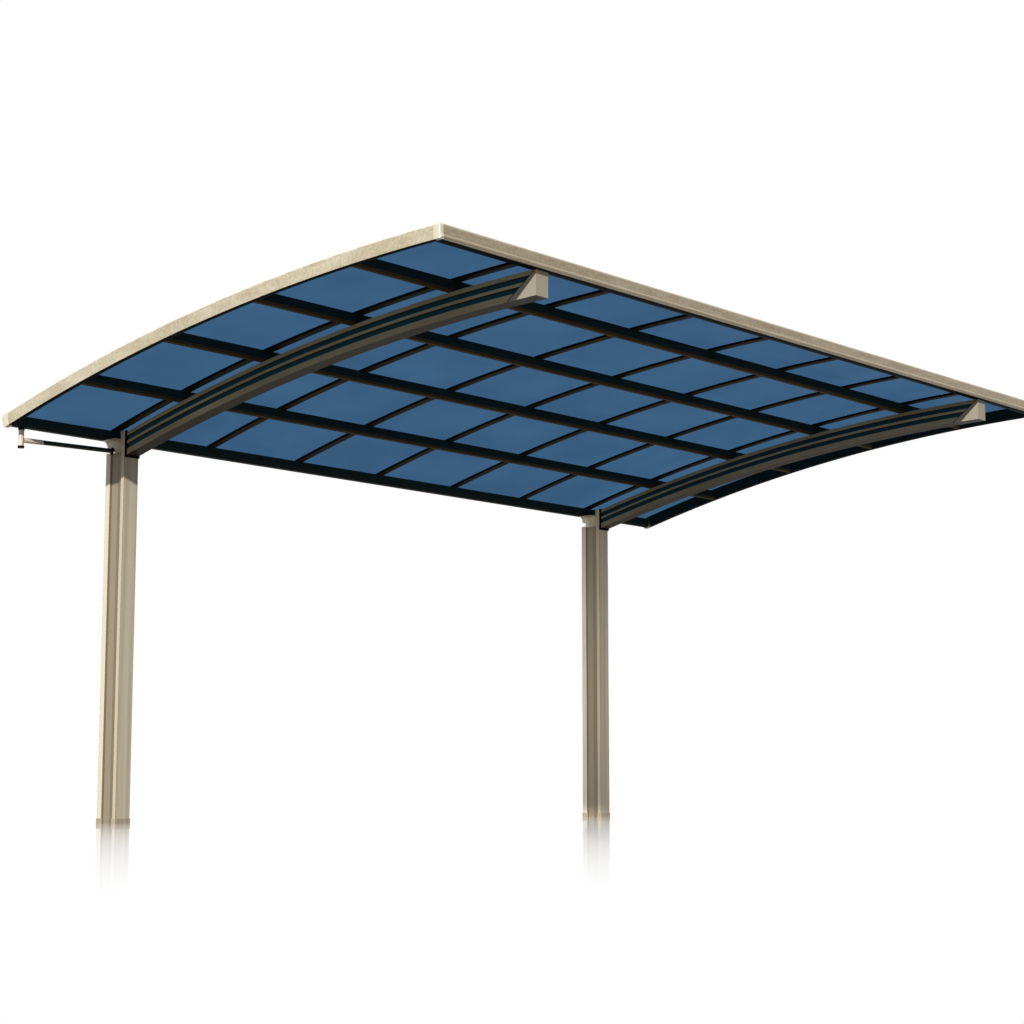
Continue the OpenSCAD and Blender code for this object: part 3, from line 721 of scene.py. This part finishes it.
def feetDistance(tree):
    # distance from the line between the two feet
    coords = addNode(tree, "ShaderNodeTexCoord").outputs["Object"]
    place = addNode(tree, "ShaderNodeSeparateXYZ", None, {"Vector": coords})
    fromMiddle = addNode(tree, "ShaderNodeMath", {1: farX / 2}, {0: place.outputs["X"]},
                         operation="SUBTRACT")
    apart = addNode(tree, "ShaderNodeMath", None, {0: fromMiddle.outputs[0]},
                    operation="ABSOLUTE")
    beyond = addNode(tree, "ShaderNodeMath", {1: farX / 2}, {0: apart.outputs[0]},
                     operation="SUBTRACT")
    past = addNode(tree, "ShaderNodeMath", {1: 0.0}, {0: beyond.outputs[0]}, operation="MAXIMUM")
    offset = addNode(tree, "ShaderNodeCombineXYZ", None,
                     {"X": past.outputs[0], "Y": place.outputs["Y"]})
    distance = addNode(tree, "ShaderNodeVectorMath", None, {0: offset.outputs["Vector"]},
                       operation="LENGTH")
    return distance.outputs["Value"]


def addFloor(spec):
    half = spec["size"] / 2
    mesh = bpy.data.meshes.new("studioFloor")
    corners = [(-half, -half, 0), (half, -half, 0), (half, half, 0), (-half, half, 0)]
    mesh.from_pydata(corners, [], [(0, 1, 2, 3)])
    floor = bpy.data.objects.new("studioFloor", mesh)
    bpy.context.scene.collection.objects.link(floor)
    material = bpy.data.materials.new("studioFloor")
    material.use_nodes = True
    tree = material.node_tree
    tree.nodes.remove(tree.nodes["Principled BSDF"])
    matt = addNode(tree, "ShaderNodeBsdfDiffuse", {"Color": hexColour(spec["pale"])})
    white = addNode(tree, "ShaderNodeEmission", {"Strength": 1.0})
    distance = feetDistance(tree)
    whiter = addNode(tree, "ShaderNodeMapRange",
                     {"From Max": spec["shadeReach"], "To Min": spec["white"], "To Max": 1.0},
                     {"Value": distance})
    pale = addNode(tree, "ShaderNodeMixShader", None,
                   {0: whiter.outputs["Result"], 1: matt.outputs[0], 2: white.outputs[0]})
    duller = addNode(tree, "ShaderNodeMapRange",
                     {"From Max": spec["fade"], "To Min": spec["gloss"], "To Max": 0.0},
                     {"Value": distance})
    edge = addNode(tree, "ShaderNodeFresnel", {"IOR": spec["ior"]})
    shine = addNode(tree, "ShaderNodeMath", None,
                    {0: duller.outputs["Result"], 1: edge.outputs["Fac"]}, operation="MULTIPLY")
    gloss = addNode(tree, "ShaderNodeBsdfGlossy",
                    {"Color": (1, 1, 1, 1), "Roughness": spec["glossRough"]})
    shown = addNode(tree, "ShaderNodeMixShader", None,
                    {0: shine.outputs[0], 1: pale.outputs[0], 2: gloss.outputs[0]})
    bounce = addNode(tree, "ShaderNodeBsdfDiffuse", {"Color": hexColour(spec["bounce"])})
    both = addNode(tree, "ShaderNodeMixShader", None,
                   {0: seenRays(tree), 1: bounce.outputs[0], 2: shown.outputs[0]})
    tree.links.new(both.outputs[0], tree.nodes["Material Output"].inputs["Surface"])
    mesh.materials.append(material)


addFloor(floorSpec)

# a low key from the left and an even surround, in degrees
lightSpec = {"surround": 0.28, "sun": 3.5, "sunAzimuth": 30.0, "sunHeight": 24.0, "sunAngle": 1.0}
# soft boxes, in metres, watts and degrees
softBoxes = [
    {"name": "frontBox", "place": (-3, -13, 5), "aim": (1.5, -1.5, 1.2),
     "size": (6, 3), "power": 90, "spread": 180},
    {"name": "leftBox", "place": (-15, 2.5, 1.2), "aim": (1, -0.5, 1.2),
     "size": (4, 2), "power": 90, "spread": 180},
    {"name": "topBox", "place": (1.5, -1.5, 10), "aim": (1.5, -1.4, 0),
     "size": (8, 6), "power": 400, "spread": 180},
    {"name": "farBox", "place": (1.2, -1.6, 0.7), "aim": (farX, 0, 0.8),
     "size": (0.8, 1.6), "power": 6, "spread": 48,
     "only": ("far_post", "far_post_head", "far_foot")}]


def addLamp(name, kind, travel):
    lamp = bpy.data.lights.new(name, kind)
    holder = bpy.data.objects.new(name, lamp)
    holder.rotation_euler = travel.to_track_quat("-Z", "Y").to_euler()
    holder.visible_camera = False
    bpy.context.scene.collection.objects.link(holder)
    return lamp, holder


def linkLamp(holder, names, state):
    # light linking: INCLUDE lights these nodes only, EXCLUDE all but these
    reached = bpy.data.collections.new(holder.name + "Nodes")
    for name in names:
        reached.objects.link(frame["nodes"][name])
    for row in reached.collection_objects:
        row.light_linking.link_state = state
    holder.light_linking.receiver_collection = reached


def addLights(spec, boxes):
    world = bpy.data.worlds.new("studioSurround")
    bpy.context.scene.world = world
    world.use_nodes = True
    tree = world.node_tree
    strength = addNode(tree, "ShaderNodeMapRange",
                       {"To Min": spec["surround"], "To Max": 1.0}, {"Value": seenRays(tree)})
    background = tree.nodes["Background"]
    background.inputs["Color"].default_value = (1, 1, 1, 1)
    tree.links.new(strength.outputs["Result"], background.inputs["Strength"])

    azimuth, height = math.radians(spec["sunAzimuth"]), math.radians(spec["sunHeight"])
    level = math.cos(height)
    travel = Vector((math.cos(azimuth) * level, math.sin(azimuth) * level, -math.sin(height)))
    sun, key = addLamp("keyLight", "SUN", travel)
    sun.energy = spec["sun"]
    sun.angle = math.radians(spec["sunAngle"])
    # a glint of the key on the sheets would clip to white
    linkLamp(key, [name for name in frame["nodes"] if name.startswith("sheet")], "EXCLUDE")

    for row in boxes:
        box, soft = addLamp(row["name"], "AREA", Vector(row["aim"]) - Vector(row["place"]))
        box.shape = "RECTANGLE"
        box.size, box.size_y = row["size"]
        box.energy = row["power"]
        box.spread = math.radians(row["spread"])
        soft.visible_glossy = soft.visible_transmission = False
        soft.location = row["place"]
        if "only" in row:
            linkLamp(soft, row["only"], "INCLUDE")


addLights(lightSpec, softBoxes)
bpy.context.scene.view_settings.view_transform = "Standard"
print("floor and light added")
